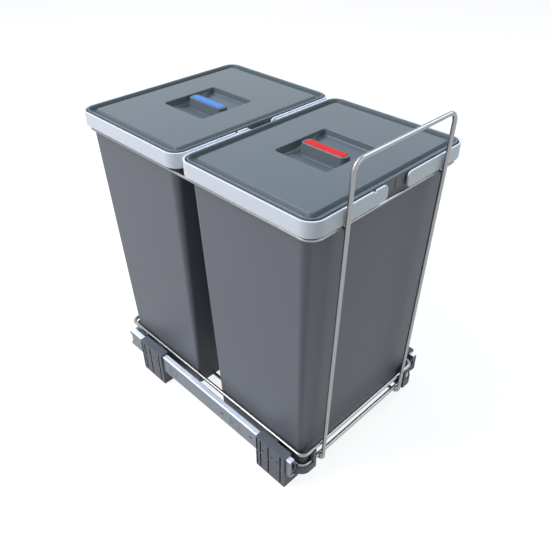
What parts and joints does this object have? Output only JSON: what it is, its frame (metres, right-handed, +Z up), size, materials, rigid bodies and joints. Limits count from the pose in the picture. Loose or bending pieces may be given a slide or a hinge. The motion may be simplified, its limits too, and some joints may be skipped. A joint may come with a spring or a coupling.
{
  "type": "pull-out bin frame",
  "caption": "Pull-out wire frame for a base cabinet: lidded waste bins with swing-up carry handles in a wire cradle on ball slides with floor brackets.",
  "frame": {"origin": "centre of the floor screw pattern of the four brackets, on the cabinet floor", "axes": "+Z up from the cabinet floor, -Y towards the front of the cabinet and the pull handle, +X to the right as seen from the front"},
  "size_m": [0.3208, 0.4721, 0.5265],
  "materials": {
    "dark_plastic": "moulded, fine matt",
    "zinc_sheet": "zinc plated sheet",
    "plain_steel": "plain steel",
    "plated_wire": "bright plated wire",
    "bin_plastic": "moulded, smooth matt",
    "lid_plastic": "moulded, smooth matt",
    "light_plastic": "moulded, smooth matt",
    "red_plastic": "smooth, slight gloss",
    "blue_plastic": "smooth, slight gloss"
  },
  "bodies": {
    "base": {"bracket_front_left": "dark_plastic", "bracket_front_right": "dark_plastic", "bracket_rear_left": "dark_plastic", "bracket_rear_right": "dark_plastic", "cabinet_rail_left": "zinc_sheet", "cabinet_rail_right": "zinc_sheet", "rail_rivets": "plain_steel"},
    "outer_cages": {"outer_cage_left": "plain_steel", "outer_cage_right": "plain_steel", "outer_balls_left": "plain_steel", "outer_balls_right": "plain_steel"},
    "middle_rails": {"middle_rail_left": "zinc_sheet", "middle_rail_right": "zinc_sheet"},
    "inner_cages": {"inner_cage_left": "plain_steel", "inner_cage_right": "plain_steel", "inner_balls_left": "plain_steel", "inner_balls_right": "plain_steel"},
    "carriage": {"drawer_rail_left": "zinc_sheet", "drawer_rail_right": "zinc_sheet", "saddle_front_left": "dark_plastic", "saddle_front_right": "dark_plastic", "saddle_rear_left": "dark_plastic", "saddle_rear_right": "dark_plastic", "saddle_screws": "plain_steel", "lower_ring": "plated_wire", "upper_ring": "plated_wire", "top_ring": "plated_wire", "pull_handle": "plated_wire", "floor_wire_left": "plated_wire", "floor_wire_right": "plated_wire", "rear_upright_left": "plated_wire", "rear_upright_right": "plated_wire", "ring_stays": "plated_wire"},
    "front_bin": {"front_bin": "bin_plastic"},
    "rear_bin": {"rear_bin": "bin_plastic"},
    "front_lid": {"front_lid": "lid_plastic", "front_lid_insert": "red_plastic"},
    "rear_lid": {"rear_lid": "lid_plastic", "rear_lid_insert": "blue_plastic"},
    "front_handle_left": {"front_handle_left": "light_plastic"},
    "front_handle_right": {"front_handle_right": "light_plastic"},
    "rear_handle_left": {"rear_handle_left": "light_plastic"},
    "rear_handle_right": {"rear_handle_right": "light_plastic"}
  },
  "joints": [
    {"name": "pull_out", "type": "slide", "parent": "base", "child": "carriage", "axis": [0, -1, 0], "range_m": [0, 0.4]},
    {"name": "middle_rail_run", "type": "slide", "parent": "base", "child": "middle_rails", "axis": [0, -1, 0], "range_m": [0, 0.2]},
    {"name": "outer_cage_run", "type": "slide", "parent": "base", "child": "outer_cages", "axis": [0, -1, 0], "range_m": [0, 0.1]},
    {"name": "inner_cage_run", "type": "slide", "parent": "base", "child": "inner_cages", "axis": [0, -1, 0], "range_m": [0, 0.3]},
    {"name": "front_bin_lift", "type": "slide", "parent": "carriage", "child": "front_bin", "axis": [0, 0, 1], "range_m": [0, 0.45]},
    {"name": "rear_bin_lift", "type": "slide", "parent": "carriage", "child": "rear_bin", "axis": [0, 0, 1], "range_m": [0, 0.45]},
    {"name": "front_lid_lift", "type": "slide", "parent": "front_bin", "child": "front_lid", "axis": [0, 0, 1], "range_m": [0, 0.2]},
    {"name": "rear_lid_lift", "type": "slide", "parent": "rear_bin", "child": "rear_lid", "axis": [0, 0, 1], "range_m": [0, 0.2]},
    {"name": "front_handle_left_swing", "type": "hinge", "parent": "front_bin", "child": "front_handle_left", "pos_m": [-0.03095, -0.092, 0.4545], "axis": [0, 1, 0], "range_deg": [0, 90]},
    {"name": "front_handle_right_swing", "type": "hinge", "parent": "front_bin", "child": "front_handle_right", "pos_m": [0.03095, -0.092, 0.4545], "axis": [0, -1, 0], "range_deg": [0, 90]},
    {"name": "rear_handle_left_swing", "type": "hinge", "parent": "rear_bin", "child": "rear_handle_left", "pos_m": [-0.03095, 0.14, 0.4545], "axis": [0, 1, 0], "range_deg": [0, 90]},
    {"name": "rear_handle_right_swing", "type": "hinge", "parent": "rear_bin", "child": "rear_handle_right", "pos_m": [0.03095, 0.14, 0.4545], "axis": [0, -1, 0], "range_deg": [0, 90]}
  ],
  "couplings": [
    {"joint": "middle_rail_run", "follows": "pull_out", "ratio": 0.5},
    {"joint": "outer_cage_run", "follows": "pull_out", "ratio": 0.25},
    {"joint": "inner_cage_run", "follows": "pull_out", "ratio": 0.75}
  ]
}
